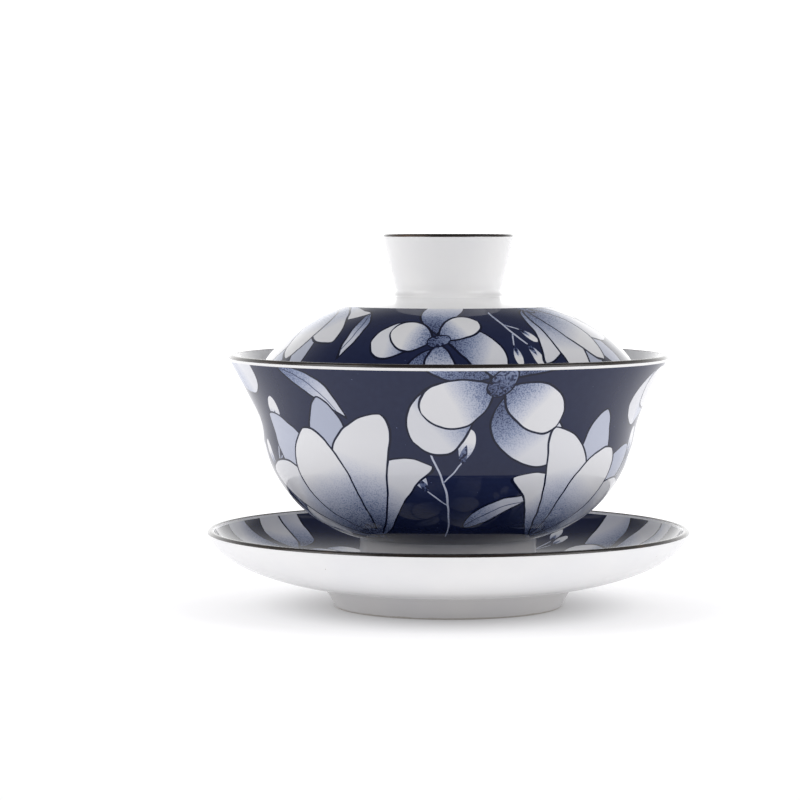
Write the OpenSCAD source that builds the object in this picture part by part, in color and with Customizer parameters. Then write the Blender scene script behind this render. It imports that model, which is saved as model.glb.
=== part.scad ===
// Covered tea bowl of glazed porcelain: a saucer, a flared bowl and a domed lid with a hollow knob.
// The bowl stands loose in the saucer's well, and the lid hangs loose inside the bowl's flared mouth.
// Millimetres, +Z up, origin at the centre of the saucer's foot on the table.
// Every piece is turned, so each module spins one outline: X is the radius and Y the height.

/* [Saucer] */
// Diameter over the saucer's lip
saucer_d = 110; // [100:1:140]
// Height of the saucer's lip above the table
saucer_h = 17.8; // [14:0.1:24]
// Thickness of the dish where it meets its foot
saucer_wall = 2.9; // [2.4:0.1:4]
// Radius of the saucer's rounded lip
saucer_lip_r = 0.8; // [0.6:0.05:1.2]
// Diameter of the saucer's foot where it joins the dish
saucer_foot_d = 57.2; // [50:0.2:70]
// How far the foot's outside leans in towards the table
saucer_foot_lean = 2.4; // [0:0.1:3.5]
// Height of the saucer's foot
saucer_foot_h = 4.8; // [3:0.1:8]
// Thickness of the saucer's foot at the table
saucer_foot_wall = 3.4; // [2.4:0.1:5]
// Depth of the well that holds the bowl's foot
well_depth = 0.8; // [0.4:0.1:1.4]

/* [Bowl] */
// Diameter over the bowl's lip
bowl_d = 100; // [90:1:125]
// Height of the bowl from its foot to its lip
bowl_h = 50.7; // [44:0.1:64]
// Thickness of the bowl's wall where it meets its foot
bowl_wall_t = 3.2; // [2.4:0.1:4.5]
// Thickness of the bowl's wall at the waist
waist_t = 2.2; // [1.8:0.1:3]
// Radius of the bowl's rounded lip
bowl_lip_r = 0.8; // [0.6:0.05:1.2]
// Diameter at the waist, where the belly ends and the flare begins
waist_d = 85.2; // [76:0.2:92]
// Height of the waist above the bowl's foot
waist_h = 33; // [28:0.5:38]
// Diameter of the bowl's foot
bowl_foot_d = 40.4; // [34:0.2:50]
// Height of the bowl's foot
bowl_foot_h = 9; // [5:0.1:11]
// Thickness of the bowl's foot
bowl_foot_wall = 2.6; // [2:0.1:4]

/* [Lid] */
// Thickness of the lid's dome
lid_wall = 2.2; // [1.8:0.1:3]
// Depth of the lid's resting circle below the bowl's lip
seat_depth = 6.5; // [4:0.1:10]
// Rise of the dome from its edge to its crown
dome_rise = 18.1; // [14:0.1:24]
// Radius of the flat at the dome's crown
crown_r = 10.5; // [8:0.1:12]

/* [Knob] */
// Diameter over the knob's lip
knob_d = 30; // [24:0.2:38]
// Diameter of the knob at its neck
neck_d = 24.6; // [20:0.1:29.6]
// Height of the knob above the dome's crown
knob_h = 14; // [10:0.1:20]
// Radius of the knob's rounded lip
knob_lip_r = 0.8; // [0.6:0.05:1]
// Thickness of the knob's wall at its neck
knob_wall = 2.4; // [1.8:0.1:3]
// Height and reach of the fillet round the knob's neck
knob_fillet = 1.8; // [1:0.1:3]

/* [Decoration] */
// Radius at which the lid's print begins, outside the white collar round the knob
lid_print_r = 24; // [20:0.2:28]
// Width of bare glaze left between a print and the lip, edge or foot next to it
print_margin = 0.25; // [0.2:0.05:1.5]
// Thickness of a printed layer
print_t = 0.15; // [0.1:0.01:0.25]
// Thickness of the brown line fired over each lip
line_t = 0.12; // [0.08:0.01:0.2]
// How far a brown line reaches round the lip to each side of its crest, in degrees
line_reach = 62; // [45:1:85]

/* [Fits] */
// Gap under the bowl's foot in the well
foot_gap = 0.1; // [0.05:0.05:0.2]
// Side play of the bowl's foot in the well
well_play = 0.8; // [0.4:0.1:1.5]
// Gap between the lid's edge and the bowl's wall
seat_gap = 0.2; // [0.1:0.05:0.3]

/* [Hidden] */
$fn = 120;

porcelain = "#ebe9e5";
navy = "#20294c";
iron_brown = "#33261f";

// Steps along one stretch of a curve, round one lip, and round the bare glaze beside a brown line.
curve_steps = 24;
lip_steps = 10;
bare_steps = 3;
steps = [0 : curve_steps];

// Rounding of the edges that a foot stands on.
foot_round = 0.8;

// ---- Curves ----

function reversed(list) = [for (i = [len(list) - 1 : -1 : 0]) list[i]];
function heading(lean) = [sin(lean), cos(lean)];
function outward(direction) = [direction[1], -direction[0]] / norm(direction);

function arc(centre, r, from, to, n) =
    [for (i = [0 : n]) let (a = from + (to - from) * i / n) centre + r * [cos(a), sin(a)]];

function bezier(c, t) =
    pow(1 - t, 3) * c[0] + 3 * pow(1 - t, 2) * t * c[1] + 3 * (1 - t) * t * t * c[2] + pow(t, 3) * c[3];
function bezier_heading(c, t) =
    pow(1 - t, 2) * (c[1] - c[0]) + 2 * (1 - t) * t * (c[2] - c[1]) + t * t * (c[3] - c[2]);

// A point at a distance outside the curve, or inside it where the distance is negative.
function beside(c, t, gap) = bezier(c, t) + gap * outward(bezier_heading(c, t));

// The lip is a half circle that closes a wall's two faces; lean is the wall's lean from upright there.
function lip_start(centre, r, lean) = centre + r * [cos(lean), -sin(lean)];

// A brown line covers the crest of the lip; the wall under it is thinner by the line's thickness.
function line_arc(centre, r, lean) =
    arc(centre, r, 90 - lean - line_reach, 90 - lean + line_reach, lip_steps);
function lined_lip(centre, r, lean) = concat(
    arc(centre, r, -lean, 90 - lean - line_reach, bare_steps),
    line_arc(centre, r - line_t, lean),
    arc(centre, r, 90 - lean + line_reach, 180 - lean, bare_steps)
);
module edge_line(centre, r, lean) {
    color(iron_brown)
        rotate_extrude()
            polygon(concat(line_arc(centre, r, lean), reversed(line_arc(centre, r - line_t, lean))));
}

// A foot: a ring with both lower edges rounded.
module foot_ring(top_r, bottom_r, wall, z, h) {
    inner_r = bottom_r - wall;
    color(porcelain)
        rotate_extrude()
            polygon(concat(
                [[inner_r, z + h]],
                arc([inner_r + foot_round, z + foot_round], foot_round, 180, 270, lip_steps),
                arc([bottom_r - foot_round, z + foot_round], foot_round, 270, 360, lip_steps),
                [[top_r, z + h]]
            ));
}

// ---- Saucer ----

saucer_foot_r = saucer_foot_d / 2;
saucer_lean = 19;
saucer_lip = [saucer_d / 2 - saucer_lip_r, saucer_h - saucer_lip_r];
saucer_lip_base = lip_start(saucer_lip, saucer_lip_r, saucer_lean);
saucer_rise_angle = 7;
// How far the underside keeps its first and last direction.
saucer_low_pull = 12.2;
saucer_high_pull = 6.8;
saucer_under = [
    [saucer_foot_r, saucer_foot_h],
    [saucer_foot_r, saucer_foot_h] + saucer_low_pull * heading(90 - saucer_rise_angle),
    saucer_lip_base - saucer_high_pull * heading(saucer_lean),
    saucer_lip_base
];
function saucer_wall_at(t) = saucer_wall + (2 * saucer_lip_r - saucer_wall) * t;
function saucer_top(t, sunk) = beside(saucer_under, t, sunk - saucer_wall_at(t));
saucer_floor_z = saucer_top(0, 0)[1];
well_r = bowl_foot_d / 2 + well_play;
well_z = saucer_floor_z - well_depth;
saucer_print_end = 1 - print_margin / norm(saucer_under[3] - saucer_under[2]) / 3;
saucer_print_r = well_r + print_margin;

function saucer_print_face(sunk) = concat(
    [for (i = steps) saucer_top(saucer_print_end * (1 - i / curve_steps), sunk)],
    [[saucer_print_r, saucer_floor_z - sunk]]
);

module saucer_dish() {
    color(porcelain)
        rotate_extrude()
            polygon(concat(
                [[0, saucer_foot_h]],
                [for (i = [0 : curve_steps - 1]) bezier(saucer_under, i / curve_steps)],
                lined_lip(saucer_lip, saucer_lip_r, saucer_lean),
                [saucer_top(saucer_print_end, 0)],
                saucer_print_face(print_t),
                [[saucer_print_r, saucer_floor_z], [well_r, saucer_floor_z], [well_r, well_z], [0, well_z]]
            ));
}

module saucer_foot_ring() {
    foot_ring(saucer_foot_r, saucer_foot_r - saucer_foot_lean, saucer_foot_wall, 0, saucer_foot_h);
}

module saucer_print() {
    color(navy)
        rotate_extrude()
            polygon(concat(saucer_print_face(0), reversed(saucer_print_face(print_t))));
}

module saucer_edge_line() {
    edge_line(saucer_lip, saucer_lip_r, saucer_lean);
}

// ---- Bowl ----

bowl_z = well_z + foot_gap;
bowl_foot_r = bowl_foot_d / 2;
bowl_foot_top = bowl_z + bowl_foot_h;
bowl_lip_z = bowl_z + bowl_h;
// Lean of the wall from upright at the foot, the waist and the lip.
bottom_lean = 80;
waist_lean = 9;
lip_lean = 27;
// How far the wall keeps each of those directions.
bottom_pull = 8.3;
waist_low_pull = 15.4;
waist_high_pull = 5.7;
lip_pull = 5.4;
waist = [waist_d / 2, bowl_z + waist_h];
bowl_lip = [bowl_d / 2 - bowl_lip_r, bowl_lip_z - bowl_lip_r];
bowl_lip_base = lip_start(bowl_lip, bowl_lip_r, lip_lean);
belly = [
    [bowl_foot_r, bowl_foot_top],
    [bowl_foot_r, bowl_foot_top] + bottom_pull * heading(bottom_lean),
    waist - waist_low_pull * heading(waist_lean),
    waist
];
flare = [
    waist,
    waist + waist_high_pull * heading(waist_lean),
    bowl_lip_base - lip_pull * heading(lip_lean),
    bowl_lip_base
];

// The wall thins evenly over the belly, and again over the flare.
function belly_wall_at(t) = bowl_wall_t + (waist_t - bowl_wall_t) * t;
function flare_wall_at(t) = waist_t + (2 * bowl_lip_r - waist_t) * t;
function belly_inside(t) = beside(belly, t, -belly_wall_at(t));
function flare_inside(t) = beside(flare, t, -flare_wall_at(t));

bowl_print_start = print_margin / norm(belly[1] - belly[0]) / 3;
bowl_print_end = 1 - print_margin / norm(flare[3] - flare[2]) / 3;
function bowl_print_face(sunk) = concat(
    [for (i = steps) beside(belly, bowl_print_start + (1 - bowl_print_start) * i / curve_steps, -sunk)],
    [for (i = [1 : curve_steps]) beside(flare, bowl_print_end * i / curve_steps, -sunk)]
);

// The floor inside is a shallow curve that runs level at the centre.
floor_edge = belly_inside(0);
floor_dip = 0.8;
floor_pull = 6;
floor_curve = [
    [0, floor_edge[1] - floor_dip],
    [floor_edge[0] / 2, floor_edge[1] - floor_dip],
    floor_edge - floor_pull * heading(bottom_lean),
    floor_edge
];
bowl_inside = concat(
    [for (i = steps) bezier(floor_curve, i / curve_steps)],
    [for (i = [1 : curve_steps]) belly_inside(i / curve_steps)],
    [for (i = [1 : curve_steps]) flare_inside(i / curve_steps)]
);

module bowl_wall() {
    color(porcelain)
        rotate_extrude()
            polygon(concat(
                [[0, bowl_foot_top], belly[0], bezier(belly, bowl_print_start)],
                bowl_print_face(print_t),
                [bezier(flare, bowl_print_end)],
                lined_lip(bowl_lip, bowl_lip_r, lip_lean),
                reversed([for (i = [0 : len(bowl_inside) - 2]) bowl_inside[i]])
            ));
}

module bowl_foot_ring() {
    foot_ring(bowl_foot_r, bowl_foot_r, bowl_foot_wall, bowl_z, bowl_foot_h);
}

module bowl_print() {
    color(navy)
        rotate_extrude()
            polygon(concat(bowl_print_face(0), reversed(bowl_print_face(print_t))));
}

module bowl_edge_line() {
    edge_line(bowl_lip, bowl_lip_r, lip_lean);
}

// ---- Lid ----

// The lid's rounded edge lies a small gap inside the circle of the bowl's wall that carries it.
seat_z = bowl_lip_z - seat_depth;
inside_radius = [for (p = bowl_inside) [p[1], p[0]]];
seat_r = lookup(seat_z, inside_radius);
seat_heading = [seat_r - lookup(seat_z - 1, inside_radius), 1];
lid_edge_r = lid_wall / 2;
lid_edge = [seat_r, seat_z] - (lid_edge_r + seat_gap) * outward(seat_heading);

// The middle of the dome's wall is an arc that starts level at the crown's flat and ends at the edge.
dome_run = lid_edge[0] - crown_r;
dome_r = (dome_run * dome_run + dome_rise * dome_rise) / (2 * dome_rise);
dome_centre = [crown_r, lid_edge[1] + dome_rise - dome_r];
dome_out_r = dome_r + lid_edge_r;
dome_in_r = dome_r - lid_edge_r;
crown_z = dome_centre[1] + dome_out_r;
edge_angle = atan2(lid_edge[1] - dome_centre[1], dome_run);

// Angles on the dome where the knob's collar, the print and the bare edge end.
collar_r = neck_d / 2 + knob_fillet;
function dome_angle(r) = acos((r - crown_r) / dome_out_r);
collar_angle = dome_angle(collar_r);
print_start_angle = dome_angle(lid_print_r);
print_end_angle = edge_angle + print_margin / dome_out_r * 180 / PI;
function dome_arc(from, to, sunk) = arc(dome_centre, dome_out_r - sunk, from, to, curve_steps);

module lid_dome() {
    color(porcelain)
        rotate_extrude()
            polygon(concat(
                [[0, crown_z]],
                dome_arc(90, collar_angle, 0),
                [dome_arc(print_start_angle, 90, 0)[0]],
                dome_arc(print_start_angle, print_end_angle, print_t),
                [dome_arc(print_end_angle, 90, 0)[0]],
                arc(lid_edge, lid_edge_r, edge_angle, edge_angle - 180, lip_steps),
                arc(dome_centre, dome_in_r, edge_angle, 90, curve_steps),
                [[0, dome_centre[1] + dome_in_r]]
            ));
}

module lid_print() {
    color(navy)
        rotate_extrude()
            polygon(concat(
                dome_arc(print_start_angle, print_end_angle, 0),
                dome_arc(print_end_angle, print_start_angle, print_t)
            ));
}

// ---- Knob ----

// A ring that flares from a filleted neck; its hollow has the crown for a floor.
knob_top_z = crown_z + knob_h;
knob_neck = [neck_d / 2, crown_z + knob_fillet];
knob_lip = [knob_d / 2 - knob_lip_r, knob_top_z - knob_lip_r];
knob_lean = atan2(knob_d / 2 - knob_neck[0], knob_lip[1] - knob_neck[1]);
knob_lip_base = lip_start(knob_lip, knob_lip_r, knob_lean);
knob_corner = 0.8;
knob_floor_r = neck_d / 2 - knob_wall - knob_corner;
collar = dome_arc(dome_angle(max(knob_floor_r, crown_r)), collar_angle, 0);
collar_edge = collar[curve_steps];
fillet_corner = [neck_d / 2, crown_z];
fillet_pull = 0.6;
knob_fillet_curve = [
    collar_edge,
    collar_edge + fillet_pull * (fillet_corner - collar_edge),
    knob_neck - fillet_pull * knob_fillet * heading(knob_lean),
    knob_neck
];

module lid_knob_ring() {
    color(porcelain)
        rotate_extrude()
            polygon(concat(
                arc([knob_floor_r, crown_z + knob_corner], knob_corner, 270, 360 - knob_lean, lip_steps),
                reversed(lined_lip(knob_lip, knob_lip_r, knob_lean)),
                [for (i = steps) bezier(knob_fillet_curve, 1 - i / curve_steps)],
                reversed([for (i = [0 : curve_steps - 1]) collar[i]])
            ));
}

module knob_edge_line() {
    edge_line(knob_lip, knob_lip_r, knob_lean);
}

saucer_dish();
saucer_foot_ring();
saucer_print();
saucer_edge_line();
bowl_wall();
bowl_foot_ring();
bowl_print();
bowl_edge_line();
lid_dome();
lid_print();
lid_knob_ring();
knob_edge_line();
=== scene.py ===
import math

import bmesh
import bpy
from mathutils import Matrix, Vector


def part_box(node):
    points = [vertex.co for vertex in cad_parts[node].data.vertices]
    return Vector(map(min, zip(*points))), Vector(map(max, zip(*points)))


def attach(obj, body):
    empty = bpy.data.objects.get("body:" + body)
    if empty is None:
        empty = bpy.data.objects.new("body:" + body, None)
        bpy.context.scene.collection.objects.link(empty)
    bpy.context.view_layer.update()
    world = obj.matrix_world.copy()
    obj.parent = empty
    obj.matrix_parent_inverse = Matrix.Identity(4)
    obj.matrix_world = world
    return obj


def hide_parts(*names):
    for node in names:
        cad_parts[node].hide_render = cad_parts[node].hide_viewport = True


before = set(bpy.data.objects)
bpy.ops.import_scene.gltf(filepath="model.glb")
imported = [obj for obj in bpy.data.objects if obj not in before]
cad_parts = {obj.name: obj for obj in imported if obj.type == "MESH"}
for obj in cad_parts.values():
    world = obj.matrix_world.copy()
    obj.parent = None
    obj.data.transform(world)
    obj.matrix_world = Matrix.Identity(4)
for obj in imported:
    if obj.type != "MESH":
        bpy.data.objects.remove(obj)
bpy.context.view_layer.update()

# ---- Saucer: the dish ----
# White porcelain, jiggered over a mould: a shallow dish with a low well for the bowl's foot.
# Under its clear glaze the clay shows a faint unevenness, and the glaze itself is never quite flat.

TURN_STEPS = 240
WELD = 1e-6
CREASE = math.radians(32)
MM = 0.001


def turned(name, node, body, material):
    """A piece thrown round the upright axis: the CAD node's own outline, spun with a fine step."""
    bm = bmesh.new()
    bm.from_mesh(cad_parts[node].data)
    bmesh.ops.remove_doubles(bm, verts=bm.verts, dist=WELD)
    for normal, both in (((0, 1, 0), True), ((1, 0, 0), False)):
        everything = bm.verts[:] + bm.edges[:] + bm.faces[:]
        bmesh.ops.bisect_plane(bm, geom=everything, dist=WELD, plane_co=(0, 0, 0), plane_no=normal,
                               clear_inner=True, clear_outer=both)
    bmesh.ops.dissolve_limit(bm, angle_limit=math.radians(0.05), verts=bm.verts, edges=bm.edges)
    lay_rule(bm)
    bmesh.ops.spin(bm, geom=bm.verts[:] + bm.edges[:], cent=(0, 0, 0), axis=(0, 0, 1),
                   angle=math.tau, steps=TURN_STEPS, use_merge=True, use_duplicate=False)
    bmesh.ops.remove_doubles(bm, verts=bm.verts, dist=WELD)
    bmesh.ops.recalc_face_normals(bm, faces=bm.faces)
    for edge in bm.edges:
        edge.smooth = edge.calc_face_angle(0) < CREASE
    for face in bm.faces:
        face.smooth = True
    mesh = bpy.data.meshes.new(name)
    bm.to_mesh(mesh)
    bm.free()
    mesh.materials.append(material)
    piece = bpy.data.objects.new(name, mesh)
    bpy.context.scene.collection.objects.link(piece)
    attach(piece, body)
    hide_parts(node)
    return piece


def lay_rule(bm):
    """Writes the distance along the outline, in millimetres, from its lowest inner point outwards."""
    rule = bm.verts.layers.float.new("rule")
    here = min(bm.verts, key=lambda v: (round(v.co.z, 6), v.co.x))
    run = 0.0
    seen = set()
    while here is not None:
        seen.add(here)
        here[rule] = run / MM
        ahead = [e.other_vert(here) for e in here.link_edges if e.other_vert(here) not in seen]
        after = max(ahead, key=lambda v: v.co.x - v.co.z) if len(seen) == 1 and ahead else None
        after = after or (ahead[0] if ahead else None)
        run += (after.co - here.co).length if after else 0
        here = after


def node_value(tree, operation, *values, clamp=False):
    """One Math node; each value is a number or another node's output."""
    node = tree.nodes.new("ShaderNodeMath")
    node.operation = operation
    node.use_clamp = clamp
    feed(tree, node, values)
    return node.outputs[0]


def node_vector(tree, operation, *values):
    node = tree.nodes.new("ShaderNodeVectorMath")
    node.operation = operation
    feed(tree, node, values)
    return node.outputs["Value" if operation in ("DOT_PRODUCT", "LENGTH") else "Vector"]


def feed(tree, node, values):
    for socket, value in zip(node.inputs, values):
        if isinstance(value, bpy.types.NodeSocket):
            tree.links.new(value, socket)
        else:
            socket.default_value = value


def noise(tree, place, size, detail=2.0):
    """Soft noise from 0 to 1; size is the width of one blotch in metres."""
    node = tree.nodes.new("ShaderNodeTexNoise")
    node.inputs["Scale"].default_value = 1 / size
    node.inputs["Detail"].default_value = detail
    tree.links.new(place, node.inputs["Vector"])
    return node


def ramp(tree, value, stops):
    node = tree.nodes.new("ShaderNodeValToRGB")
    while len(node.color_ramp.elements) < len(stops):
        node.color_ramp.elements.new(0.5)
    for element, (at, colour) in zip(node.color_ramp.elements, stops):
        element.position = at
        element.color = (*colour, 1)
    tree.links.new(value, node.inputs["Fac"])
    return node.outputs["Color"]


def new_finish(name, roughness, ior):
    """An empty finish: its tree, its shader and the piece's own coordinates."""
    material = bpy.data.materials.new(name)
    material.use_nodes = True
    tree = material.node_tree
    shader = tree.nodes["Principled BSDF"]
    shader.inputs["Roughness"].default_value = roughness
    shader.inputs["IOR"].default_value = ior
    place = tree.nodes.new("ShaderNodeTexCoord").outputs["Object"]
    return material, tree, shader, place


def ripple(tree, shader, place, size, depth):
    """The slow unevenness of a fired glaze, as a very low bump."""
    bump = tree.nodes.new("ShaderNodeBump")
    bump.inputs["Strength"].default_value = 0.35
    bump.inputs["Distance"].default_value = depth
    tree.links.new(noise(tree, place, size, 1.0).outputs["Fac"], bump.inputs["Height"])
    tree.links.new(bump.outputs["Normal"], shader.inputs["Normal"])


GLAZE_ROUGHNESS = 0.06
GLAZE_IOR = 1.46
PORCELAIN_LIGHT = (0.87, 0.865, 0.865)
PORCELAIN_SHADE = (0.83, 0.83, 0.845)
PINHOLE = (0.34, 0.30, 0.26)


def porcelain_colour(tree, place):
    """White clay under clear glaze: slow drifts of tone and a rare dark iron speck."""
    drift = noise(tree, place, 14 * MM, 3.0).outputs["Fac"]
    white = ramp(tree, drift, [(0.3, PORCELAIN_SHADE), (0.7, PORCELAIN_LIGHT)])
    specks = tree.nodes.new("ShaderNodeTexVoronoi")
    specks.inputs["Scale"].default_value = 1 / (9 * MM)
    tree.links.new(place, specks.inputs["Vector"])
    near = node_value(tree, "LESS_THAN", specks.outputs["Distance"], 0.014)
    mixed = tree.nodes.new("ShaderNodeMix")
    mixed.data_type = "RGBA"
    tree.links.new(near, mixed.inputs["Factor"])
    tree.links.new(white, mixed.inputs["A"])
    mixed.inputs["B"].default_value = (*PINHOLE, 1)
    return mixed.outputs["Result"]


def white_glaze(name):
    material, tree, shader, place = new_finish(name, GLAZE_ROUGHNESS, GLAZE_IOR)
    tree.links.new(porcelain_colour(tree, place), shader.inputs["Base Color"])
    ripple(tree, shader, place, 6 * MM, 0.05 * MM)
    return material


saucer_white = white_glaze("saucer_white_glaze")
turned("saucer_body", "saucer_dish", "saucer", saucer_white)

# ---- Saucer: the foot ring ----
# Turned from the same clay and luted under the dish. Its standing edge is wiped clean of glaze,
# so a narrow ring of bare, matt, slightly darker biscuit shows where it meets the table.

BISCUIT = (0.56, 0.53, 0.49)
BISCUIT_ROUGHNESS = 0.75
BARE_HEIGHT = 0.45 * MM
# Painted shade: the grey that the whole glazed foot is multiplied by, for the shade under the dish.
FOOT_PAINTED_SHADE = (0.76, 0.75, 0.745)


def foot_glaze(name, standing_z):
    """White glaze that ends in a wavering line just above the edge that the foot stands on; above that line
    the glaze is greyed all over with painted shade.
    """
    material, tree, shader, place = new_finish(name, GLAZE_ROUGHNESS, GLAZE_IOR)
    height = tree.nodes.new("ShaderNodeSeparateXYZ")
    tree.links.new(place, height.inputs["Vector"])
    waver = noise(tree, place, 3 * MM).outputs["Fac"]
    edge = node_value(tree, "MULTIPLY_ADD", waver, 0.5 * MM, standing_z + BARE_HEIGHT - 0.25 * MM)
    below = node_value(tree, "SUBTRACT", edge, height.outputs["Z"])
    bare = node_value(tree, "MULTIPLY", below, 1 / (0.08 * MM), clamp=True)
    mixed = tree.nodes.new("ShaderNodeMix")
    mixed.data_type = "RGBA"
    tree.links.new(bare, mixed.inputs["Factor"])
    # Painted shade: the glazed foot is multiplied down to a grey here, for the shade under the dish.
    thin = tree.nodes.new("ShaderNodeMix")
    thin.data_type = "RGBA"
    thin.blend_type = "MULTIPLY"
    thin.inputs["Factor"].default_value = 1
    tree.links.new(porcelain_colour(tree, place), thin.inputs["A"])
    thin.inputs["B"].default_value = (*FOOT_PAINTED_SHADE, 1)
    tree.links.new(thin.outputs["Result"], mixed.inputs["A"])
    grit = noise(tree, place, 0.3 * MM, 4.0).outputs["Fac"]
    biscuit = ramp(tree, grit, [(0.3, tuple(0.8 * c for c in BISCUIT)), (0.7, BISCUIT)])
    tree.links.new(biscuit, mixed.inputs["B"])
    tree.links.new(mixed.outputs["Result"], shader.inputs["Base Color"])
    rough = node_value(tree, "MULTIPLY_ADD", bare, BISCUIT_ROUGHNESS - GLAZE_ROUGHNESS, GLAZE_ROUGHNESS)
    tree.links.new(rough, shader.inputs["Roughness"])
    ripple(tree, shader, place, 5 * MM, 0.05 * MM)
    return material


saucer_foot_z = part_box("saucer_foot_ring")[0].z
turned("saucer_foot", "saucer_foot_ring", "saucer",
       foot_glaze("saucer_foot_glaze", saucer_foot_z))

# ---- Saucer: the printed flowers ----
# A cobalt transfer print, slid on wet and fired under the clear glaze: white and pale blue petals with
# dark outlines, stippled shadows and thin stems on a navy ground. One ink, from bare white to near black.

INK = [
    (0.00, (0.005, 0.007, 0.024)),
    (0.12, (0.011, 0.016, 0.052)),
    (0.20, (0.015, 0.022, 0.064)),
    (0.42, (0.090, 0.118, 0.225)),
    (0.62, (0.255, 0.300, 0.440)),
    (0.82, (0.540, 0.565, 0.665)),
    (1.00, (0.800, 0.795, 0.805)),
]
GROUND = 0.15
PRINT_IOR = 1.40
EDGE_SHARPNESS = 11


def petal_group():
    """Draws one petal over the tones laid before it. Along runs from base to tip, Across is sideways."""
    tree = bpy.data.node_groups.new("petal", "ShaderNodeTree")
    for kind, names in (("NodeSocketVector", ("Place", "Base", "Along", "Across")),
                        ("NodeSocketFloat", ("Tone", "Grain", "Blotch", "Width", "Base end", "Tip end",
                                             "Bend",
                                             "Sway", "Base tone", "Tone rise", "Base light", "Light rise",
                                             "Side light", "Line", "Blotches", "Length"))):
        for name in names:
            tree.interface.new_socket(name, in_out="INPUT", socket_type=kind)
    tree.interface.new_socket("Tone", in_out="OUTPUT", socket_type="NodeSocketFloat")
    given = tree.nodes.new("NodeGroupInput").outputs
    offset = node_vector(tree, "SUBTRACT", given["Place"], given["Base"])
    t = node_vector(tree, "DOT_PRODUCT", offset, given["Along"])
    s = node_vector(tree, "DOT_PRODUCT", offset, given["Across"])
    rest = node_value(tree, "SUBTRACT", 1.0, t)
    hump = node_value(tree, "MULTIPLY", t, rest)
    turn = node_value(tree, "SUBTRACT", rest, t)
    curve = node_value(tree, "MULTIPLY_ADD", turn, given["Sway"], given["Bend"])
    s = node_value(tree, "SUBTRACT", s, node_value(tree, "MULTIPLY", curve, hump))
    half = node_value(tree, "MULTIPLY", node_value(tree, "POWER", t, given["Base end"]),
                      node_value(tree, "POWER", rest, given["Tip end"]))
    half = node_value(tree, "MULTIPLY", half, given["Width"])
    slope = node_value(tree, "SUBTRACT", node_value(tree, "DIVIDE", given["Base end"], t),
                       node_value(tree, "DIVIDE", given["Tip end"], rest))
    slope = node_value(tree, "DIVIDE", node_value(tree, "MULTIPLY", slope, half), given["Length"])
    steep = node_value(tree, "SQRT", node_value(tree, "MULTIPLY_ADD", slope, slope, 1.0))
    inside = node_value(tree, "SUBTRACT", half, node_value(tree, "ABSOLUTE", s))
    inside = node_value(tree, "DIVIDE", inside, steep)
    cover = node_value(tree, "MULTIPLY", inside, EDGE_SHARPNESS, clamp=True)
    within = node_value(tree, "SUBTRACT", inside, given["Line"])
    within = node_value(tree, "MULTIPLY", within, EDGE_SHARPNESS, clamp=True)
    light = node_value(tree, "MULTIPLY_ADD", t, given["Light rise"], given["Base light"])
    light = node_value(tree, "MULTIPLY_ADD", s, given["Side light"], light, clamp=True)
    tone = node_value(tree, "MULTIPLY_ADD", light, given["Tone rise"], given["Base tone"])
    shade = node_value(tree, "SUBTRACT", 1.0, light)
    tone = node_value(tree, "SUBTRACT", tone, node_value(tree, "MULTIPLY", shade, given["Grain"]))
    tone = node_value(tree, "SUBTRACT", tone,
                      node_value(tree, "MULTIPLY", given["Blotch"], given["Blotches"]))
    tone = node_value(tree, "MULTIPLY", tone, within)
    change = node_value(tree, "SUBTRACT", tone, given["Tone"])
    result = node_value(tree, "MULTIPLY_ADD", change, cover, given["Tone"])
    out = tree.nodes.new("NodeGroupOutput")
    tree.links.new(result, out.inputs["Tone"])
    return tree


PETAL = petal_group()


def heading(degrees):
    """One millimetre in the given direction."""
    return Vector((math.cos(math.radians(degrees)), math.sin(math.radians(degrees))))


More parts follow.
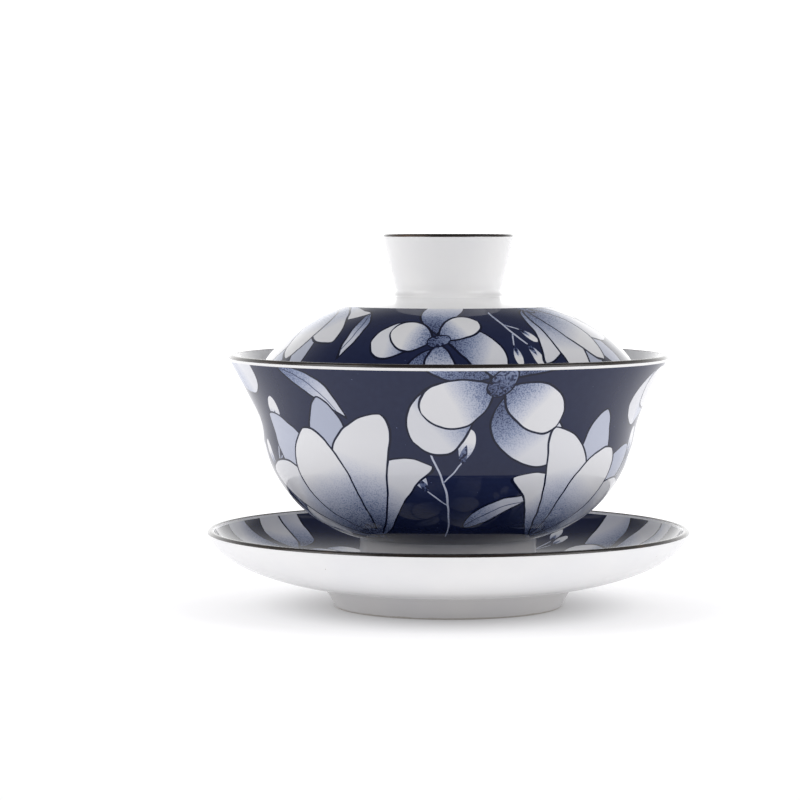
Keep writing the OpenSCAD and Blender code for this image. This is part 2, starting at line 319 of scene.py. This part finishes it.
class Print:
    """A print in the making: the tones laid so far on one piece, drawn over in the order of the calls."""

    def __init__(self, name, place_in_mm):
        finish = new_finish(name, GLAZE_ROUGHNESS, PRINT_IOR)
        self.material, self.tree, self.shader, self.object_place = finish
        tree = self.tree
        flat = place_in_mm(tree, self.object_place)
        wander = node_vector(tree, "SUBTRACT", noise(tree, self.object_place, 7 * MM, 1.5).outputs["Color"],
                             (0.5, 0.5, 0.5))
        wander = node_vector(tree, "MULTIPLY", wander, (1.5, 1.5, 0.0))
        self.place = node_vector(tree, "ADD", flat, wander)
        grain = noise(tree, self.object_place, 0.3 * MM, 0.0).outputs["Fac"]
        self.grain = node_value(tree, "MULTIPLY_ADD", grain, 1.0, -0.42, clamp=True)
        blotch = noise(tree, self.object_place, 0.75 * MM, 1.0).outputs["Fac"]
        self.blotch = node_value(tree, "MULTIPLY_ADD", blotch, 9.0, -4.3, clamp=True)
        cloud = noise(tree, self.object_place, 1.6 * MM, 3.0).outputs["Fac"]
        ground = node_value(tree, "MULTIPLY_ADD", cloud, 0.10, GROUND - 0.05)
        dust = tree.nodes.new("ShaderNodeTexVoronoi")
        dust.inputs["Scale"].default_value = 1 / (3.2 * MM)
        tree.links.new(self.object_place, dust.inputs["Vector"])
        mote = node_value(tree, "LESS_THAN", dust.outputs["Distance"], 0.04)
        self.tone = node_value(tree, "MULTIPLY_ADD", mote, 0.22, ground)

    def petal(self, base, tip, width, bend=0.0, sway=0.0, ends=(0.6, 0.6), tones=(0.55, 0.97),
              light=(0.0, 1.6), side=0.0, line=0.48, blotches=0.0):
        """base and tip in millimetres; width is the half width at the belly; bend bows it to the left.
        tones are its darkest and lightest; light runs from 0 to 1 between them, from base to tip and
        to the left."""
        base, tip = Vector((*base, 0)), Vector((*tip, 0))
        length = (tip - base).length
        ahead = (tip - base) / length
        a, b = ends
        belly = a / (a + b)
        group = self.tree.nodes.new("ShaderNodeGroup")
        group.node_tree = PETAL
        sockets = group.inputs
        links = self.tree.links
        links.new(self.place, sockets["Place"])
        links.new(self.tone, sockets["Tone"])
        links.new(self.grain, sockets["Grain"])
        links.new(self.blotch, sockets["Blotch"])
        sockets["Base"].default_value = base
        sockets["Along"].default_value = ahead / length
        sockets["Across"].default_value = Vector((-ahead.y, ahead.x, 0))
        sockets["Length"].default_value = length
        sockets["Width"].default_value = width / (belly ** a * (1 - belly) ** b)
        sockets["Base end"].default_value = a
        sockets["Tip end"].default_value = b
        sockets["Bend"].default_value = 4 * bend
        sockets["Sway"].default_value = 10 * sway
        sockets["Base tone"].default_value = tones[0]
        sockets["Tone rise"].default_value = tones[1] - tones[0]
        sockets["Base light"].default_value = light[0]
        sockets["Light rise"].default_value = light[1] - light[0]
        sockets["Side light"].default_value = side
        sockets["Line"].default_value = line
        sockets["Blotches"].default_value = blotches
        self.tone = group.outputs["Tone"]

    def stem(self, base, tip, width=0.25, bend=0.0, sway=0.0, tone=0.8):
        """A thin stroke with blunt ends."""
        self.petal(base, tip, width, bend, sway, ends=(0.08, 0.08), tones=(tone, tone), line=-1)

    def seed_head(self, base, tip, width, tone=0.44, blotches=0.3, ends=(0.42, 0.42)):
        """The speckled cone at the heart of a flower."""
        self.petal(base, tip, width, ends=ends, tones=(tone, tone + 0.16), light=(-0.3, 1.0),
                   line=0.3, blotches=blotches)

    def bud(self, base, tip, width, bend=0.0):
        """A closed bud: a pale body that fills out towards its tip, and a speckled husk at its base."""
        self.petal(base, tip, width, bend, ends=(0.8, 0.55), tones=(0.7, 0.97), line=0.0)
        base, tip = Vector(base), Vector(tip)
        self.petal(base, base.lerp(tip, 0.55), 0.5 * width, bend, ends=(0.4, 1.0), tones=(0.35, 0.5),
                   line=0.0, blotches=0.3)

    def open_flower(self, centre, turn, size):
        """A flower seen from above: four outer petals, three inner ones over them, and the seed head."""
        centre = Vector(centre)
        for step, reach, girth, bow in ((0, 1.0, 0.30, 0.05), (178, 0.94, 0.31, -0.04),
                                        (92, 1.06, 0.28, 0.06), (266, 0.98, 0.30, -0.05)):
            ahead = heading(turn + step)
            self.petal(centre + 0.1 * size * ahead, centre + reach * size * ahead, girth * size,
                       bow * size, bow * size, ends=(0.8, 0.55), tones=(0.46, 0.93), light=(-0.3, 1.5))
        for step, reach, girth in ((48, 0.72, 0.25), (164, 0.70, 0.26), (284, 0.74, 0.24)):
            ahead = heading(turn + step)
            self.petal(centre + 0.05 * size * ahead, centre + reach * size * ahead, girth * size,
                       0.03 * size, ends=(0.65, 0.5), tones=(0.58, 0.97), light=(-0.2, 1.9))
        ahead = heading(turn + 20)
        self.seed_head(centre - 0.14 * size * ahead, centre + 0.2 * size * ahead, 0.11 * size)

    def side_flower(self, foot, turn, size):
        """A flower seen from the side: a cup of petals that open outwards from a speckled husk."""
        foot = Vector(foot)
        behind_to_front = ((13, 1.0, 0.15, -0.02, (0.5, 0.78)), (-16, 0.95, 0.15, 0.02, (0.5, 0.74)),
                           (62, 0.72, 0.13, -0.09, (0.55, 0.95)), (-64, 0.76, 0.13, 0.09, (0.55, 0.93)),
                           (36, 0.90, 0.17, -0.06, (0.52, 0.95)), (-38, 0.88, 0.18, 0.06, (0.52, 0.96)),
                           (-2, 0.80, 0.20, 0.02, (0.55, 0.97)))
        for step, reach, girth, bow, tones in behind_to_front:
            self.petal(foot, foot + reach * size * heading(turn + step), girth * size, bow * size,
                       -0.5 * bow * size, ends=(0.9, 0.6), tones=tones, light=(-0.3, 1.6))
        self.seed_head(foot - 0.12 * size * heading(turn), foot + 0.14 * size * heading(turn), 0.06 * size)

    def twig(self, base, tip, bend, bud_size):
        """A thin branch with a bud at its tip and one to each side lower down."""
        base, tip = Vector(base), Vector(tip)
        self.stem(base, tip, 0.3, bend)
        along = (tip - base).normalized()
        outwards = Vector((-along.y, along.x))
        self.bud(tip, tip + bud_size * along, 0.24 * bud_size)
        for share, side in ((0.45, 1), (0.7, -1)):
            fork = base.lerp(tip, share) + 4 * share * (1 - share) * bend * outwards
            shoot = fork + 0.5 * bud_size * (along + side * outwards)
            self.stem(fork, shoot, 0.22)
            self.bud(shoot, shoot + 0.8 * bud_size * (along + 0.4 * side * outwards), 0.2 * bud_size)

    def leaf(self, base, turn, length):
        """A slim pale leaf with a dark midrib."""
        tip = Vector(base) + length * heading(turn)
        self.petal(base, tip, 0.14 * length, 0.08 * length, ends=(0.6, 0.8), tones=(0.5, 0.86))
        self.stem(base, Vector(base).lerp(tip, 0.85), 0.16, 0.08 * length, tone=0.25)

    def finish(self):
        self.tree.links.new(ramp(self.tree, self.tone, INK), self.shader.inputs["Base Color"])
        ripple(self.tree, self.shader, self.object_place, 6 * MM, 0.05 * MM)
        return self.material


def in_sectors(count, turn):
    """X and Y in millimetres, with the drawing repeated count times round the upright axis."""
    def fold(tree, place):
        parts = tree.nodes.new("ShaderNodeSeparateXYZ")
        tree.links.new(node_vector(tree, "MULTIPLY", place, (1 / MM, 1 / MM, 0)), parts.inputs["Vector"])
        x, y = parts.outputs["X"], parts.outputs["Y"]
        squares = node_value(tree, "MULTIPLY_ADD", x, x, node_value(tree, "MULTIPLY", y, y))
        radius = node_value(tree, "SQRT", squares)
        angle = node_value(tree, "ADD", node_value(tree, "ARCTAN2", y, x), math.radians(turn))
        angle = node_value(tree, "WRAP", angle, math.pi / count, -math.pi / count)
        both = tree.nodes.new("ShaderNodeCombineXYZ")
        for axis, share in (("X", "COSINE"), ("Y", "SINE")):
            along = node_value(tree, "MULTIPLY", radius, node_value(tree, share, angle))
            tree.links.new(along, both.inputs[axis])
        return both.outputs["Vector"]
    return fold


def ring_point(radius, degrees):
    return radius * heading(degrees)


saucer_flowers = Print("saucer_flowers", in_sectors(3, -58))
saucer_flowers.twig(ring_point(27, -6), ring_point(44, -2), 2.0, 6)
saucer_flowers.leaf(ring_point(27, -50), 8, 16)
saucer_flowers.leaf(ring_point(43, 44), 128, 13)
saucer_flowers.side_flower(ring_point(28, 10), 62, 25)
saucer_flowers.open_flower(ring_point(42, -31), 25, 19)
saucer_flowers.finish()
turned("saucer_transfer", "saucer_print", "saucer", saucer_flowers.material)

# ---- The brown lines over the three lips ----
# Iron oxide brushed over the lips of saucer, bowl and knob on a turning wheel and fired in.
# The line is near black where it lies thick and runs out to brown where the brush was dry.

IRON = [(0.0, (0.012, 0.009, 0.008)), (0.55, (0.022, 0.016, 0.013)), (1.0, (0.10, 0.062, 0.040))]


def iron_line(name):
    material, tree, shader, place = new_finish(name, 0.22, 1.5)
    thin = noise(tree, place, 9 * MM, 3.0).outputs["Fac"]
    thin = node_value(tree, "MULTIPLY_ADD", thin, 2.2, -0.75, clamp=True)
    tree.links.new(ramp(tree, thin, IRON), shader.inputs["Base Color"])
    ripple(tree, shader, place, 0.8 * MM, 0.02 * MM)
    return material


iron = iron_line("iron_brown")
turned("saucer_lip_line", "saucer_edge_line", "saucer", iron)
turned("bowl_lip_line", "bowl_edge_line", "bowl", iron)
turned("knob_lip_line", "knob_edge_line", "lid", iron)

# ---- Bowl: the wall ----
# A deep flared shell thrown from white porcelain, thin at the lip and thicker at the floor.
# It is glazed white inside; outside, only a narrow edge shows above and below the print.

turned("bowl_body", "bowl_wall", "bowl", white_glaze("bowl_white_glaze"))

# ---- Bowl: the foot ring ----
# Turned from the same clay and luted under the wall. It stands loose in the saucer's well,
# and its standing edge is wiped bare of glaze like the saucer's.

bowl_foot_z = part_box("bowl_foot_ring")[0].z
turned("bowl_foot", "bowl_foot_ring", "bowl",
       foot_glaze("bowl_foot_glaze", bowl_foot_z))

# ---- Bowl: the printed flowers ----
# The same cobalt transfer, laid round the outside in two equal halves that meet edge to edge.
# Large flowers stand on the foot and hang from the lip, with twigs and leaves between them.

WAIST = 42.5
REPEAT = math.pi * WAIST


def round_the_bowl(tree, place):
    """Millimetres round the bowl at its waist, and up its wall from the foot; the front is at 0."""
    parts = tree.nodes.new("ShaderNodeSeparateXYZ")
    tree.links.new(place, parts.inputs["Vector"])
    back = node_value(tree, "MULTIPLY", parts.outputs["Y"], -1.0)
    angle = node_value(tree, "ARCTAN2", parts.outputs["X"], back)
    around = node_value(tree, "MULTIPLY", angle, WAIST)
    around = node_value(tree, "WRAP", around, -REPEAT / 2, REPEAT / 2)
    rule = tree.nodes.new("ShaderNodeAttribute")
    rule.attribute_name = "rule"
    both = tree.nodes.new("ShaderNodeCombineXYZ")
    tree.links.new(around, both.inputs["X"])
    tree.links.new(rule.outputs["Fac"], both.inputs["Y"])
    return both.outputs["Vector"]


bowl_flowers = Print("bowl_flowers", round_the_bowl)
for base, tip, bend, bud_size in (((-50, 10), (-45, 37), 2.0, 8), ((-1, 8), (-4, 33), -2.5, 9),
                                  ((50, 9), (55, 29), 1.5, 8)):
    bowl_flowers.twig(base, tip, bend, bud_size)
for base, turn, length in (((-27, 10), 152, 27), ((4, 12), 30, 20), ((43, 10), 118, 26)):
    bowl_flowers.leaf(base, turn, length)
# the flower across the meeting edge is drawn from both of its sides
for centre in (REPEAT / 2, -REPEAT / 2):
    bowl_flowers.open_flower((centre, 47), 15, 22)
bowl_flowers.leaf((-36, 53), -42, 19)
bowl_flowers.open_flower((10, 49), 40, 24)
bowl_flowers.side_flower((-24, 7), 112, 41)
bowl_flowers.side_flower((31, 6), 66, 37)
bowl_flowers.finish()
turned("bowl_transfer", "bowl_print", "bowl", bowl_flowers.material)

# ---- Lid: the dome ----
# A domed shell with a rounded edge that hangs inside the bowl's mouth.
# White glaze under it and on the collar round the knob; the print covers the rest.

turned("lid_body", "lid_dome", "lid", white_glaze("lid_white_glaze"))
# ---- Lid: the knob ----
# A hollow flared ring, thrown apart and luted on the crown, open at the top like a small cup.
# It is glazed white inside and out.

turned("knob", "lid_knob_ring", "lid", white_glaze("knob_white_glaze"))
# ---- Lid: the printed flowers ----
# The same transfer in three equal sectors, from the white collar out to the edge of the dome.
# Each sector has a flower seen from the side, an open one, a twig of buds and a leaf.

lid_flowers = Print("lid_flowers", in_sectors(3, 62))
lid_flowers.twig(ring_point(26, -8), ring_point(37, 0), -1.2, 5)
lid_flowers.leaf(ring_point(27, 52), 60, 14)
lid_flowers.side_flower(ring_point(24, 14), 52, 24)
lid_flowers.open_flower(ring_point(36, -32), 50, 16)
lid_flowers.finish()
turned("lid_transfer", "lid_print", "lid", lid_flowers.material)

# ---- The table ----
# A wide white card that glows softly with painted light, brighter towards the back, and is dimmed by a
# painted shadow under the foot where no light comes in.
# It isn't part of the ware.

TABLE_HALF = 6.0
floor_mesh = bpy.data.meshes.new("floor")
floor_bm = bmesh.new()
bmesh.ops.create_grid(floor_bm, x_segments=1, y_segments=1, size=TABLE_HALF)
floor_bm.to_mesh(floor_mesh)
floor_bm.free()
floor = bpy.data.objects.new("floor", floor_mesh)
bpy.context.scene.collection.objects.link(floor)
floor_finish, floor_tree, floor_shader, floor_place = new_finish("floor_white", 0.6, 1.4)
floor_shader.inputs["Base Color"].default_value = (0.5, 0.5, 0.5, 1)
floor_shader.inputs["Specular IOR Level"].default_value = 0.0
floor_shader.inputs["Emission Color"].default_value = (0.985, 0.98, 1.0, 1)
floor_axes = floor_tree.nodes.new("ShaderNodeSeparateXYZ")
floor_tree.links.new(floor_place, floor_axes.inputs["Vector"])
# Painted light: the card's glow grows from the front towards the back.
depth = node_value(floor_tree, "ADD", floor_axes.outputs["Y"], 0.5)
glow = ramp(floor_tree, depth, [(0.1, (0.5,) * 3), (0.3, (0.7,) * 3), (0.5, (0.74,) * 3),
                                (0.62, (0.9,) * 3), (1.0, (1.2,) * 3)])
from_middle = node_vector(floor_tree, "LENGTH", floor_place)
# Painted shadow: the glow falls away close under the ware.
under = ramp(floor_tree, from_middle, [(0.015, (0.12,) * 3), (0.031, (0.36,) * 3), (0.066, (1.0,) * 3)])
glow = node_value(floor_tree, "MULTIPLY", glow, under)
floor_tree.links.new(glow, floor_shader.inputs["Emission Strength"])
floor_mesh.materials.append(floor_finish)

# ---- The light ----
# A white room that is bright low down and behind, and two large softboxes at the front sides.

SOFTBOX_SIZE = 0.7
SOFTBOX_AWAY = 0.9
SOFTBOX_HEIGHT = 0.62
SOFTBOX_WATTS = 4.1
SOFTBOX_TURN = 66
SOFTBOX_AIM = Vector((0, 0, 0.05))
BACK_STRENGTH = 2.4
world = bpy.data.worlds.new("studio")
world.use_nodes = True
bpy.context.scene.world = world
sky = world.node_tree
axes = sky.nodes.new("ShaderNodeSeparateXYZ")
sky.links.new(sky.nodes.new("ShaderNodeTexCoord").outputs["Generated"], axes.inputs["Vector"])
upwards = ramp(sky, axes.outputs["Z"], [(0.0, (1.0,) * 3), (0.28, (0.85,) * 3), (0.5, (0.3,) * 3),
                                        (0.72, (0.11,) * 3), (1.0, (0.09,) * 3)])
backwards = node_value(sky, "MULTIPLY_ADD", axes.outputs["Y"], 0.5, 0.5)
backwards = ramp(sky, backwards, [(0.0, (0.27,) * 3), (0.45, (0.42,) * 3), (0.7, (0.6,) * 3),
                                  (1.0, (0.96,) * 3)])
backwards = node_value(sky, "MULTIPLY", backwards, BACK_STRENGTH)
background = sky.nodes["Background"]
sky.links.new(upwards, background.inputs["Color"])
sky.links.new(backwards, background.inputs["Strength"])

for side_name, azimuth in (("left", -SOFTBOX_TURN), ("right", SOFTBOX_TURN)):
    softbox = bpy.data.lights.new(side_name + "_softbox", "AREA")
    softbox.size = SOFTBOX_SIZE
    softbox.energy = SOFTBOX_WATTS
    lamp = bpy.data.objects.new(side_name + "_softbox", softbox)
    turn = math.radians(azimuth)
    lamp.location = (SOFTBOX_AWAY * math.sin(turn), -SOFTBOX_AWAY * math.cos(turn), SOFTBOX_HEIGHT)
    lamp.rotation_euler = (SOFTBOX_AIM - lamp.location).to_track_quat("-Z", "Y").to_euler()
    bpy.context.scene.collection.objects.link(lamp)

# ---- The camera ----
# A long lens a little above the table, looking level at the front of the bowl.

CAMERA_AT = Vector((0, -0.700, 0.090))
CAMERA_AIM = Vector((-0.011, 0, 0.0471))
camera_data = bpy.data.cameras.new("camera")
camera_data.sensor_width = 36
camera_data.lens = 138.15
camera = bpy.data.objects.new("camera", camera_data)
camera.location = CAMERA_AT
camera.rotation_euler = (CAMERA_AIM - CAMERA_AT).to_track_quat("-Z", "Y").to_euler()
bpy.context.scene.collection.objects.link(camera)
bpy.context.scene.camera = camera
bpy.context.scene.view_settings.view_transform = "Standard"
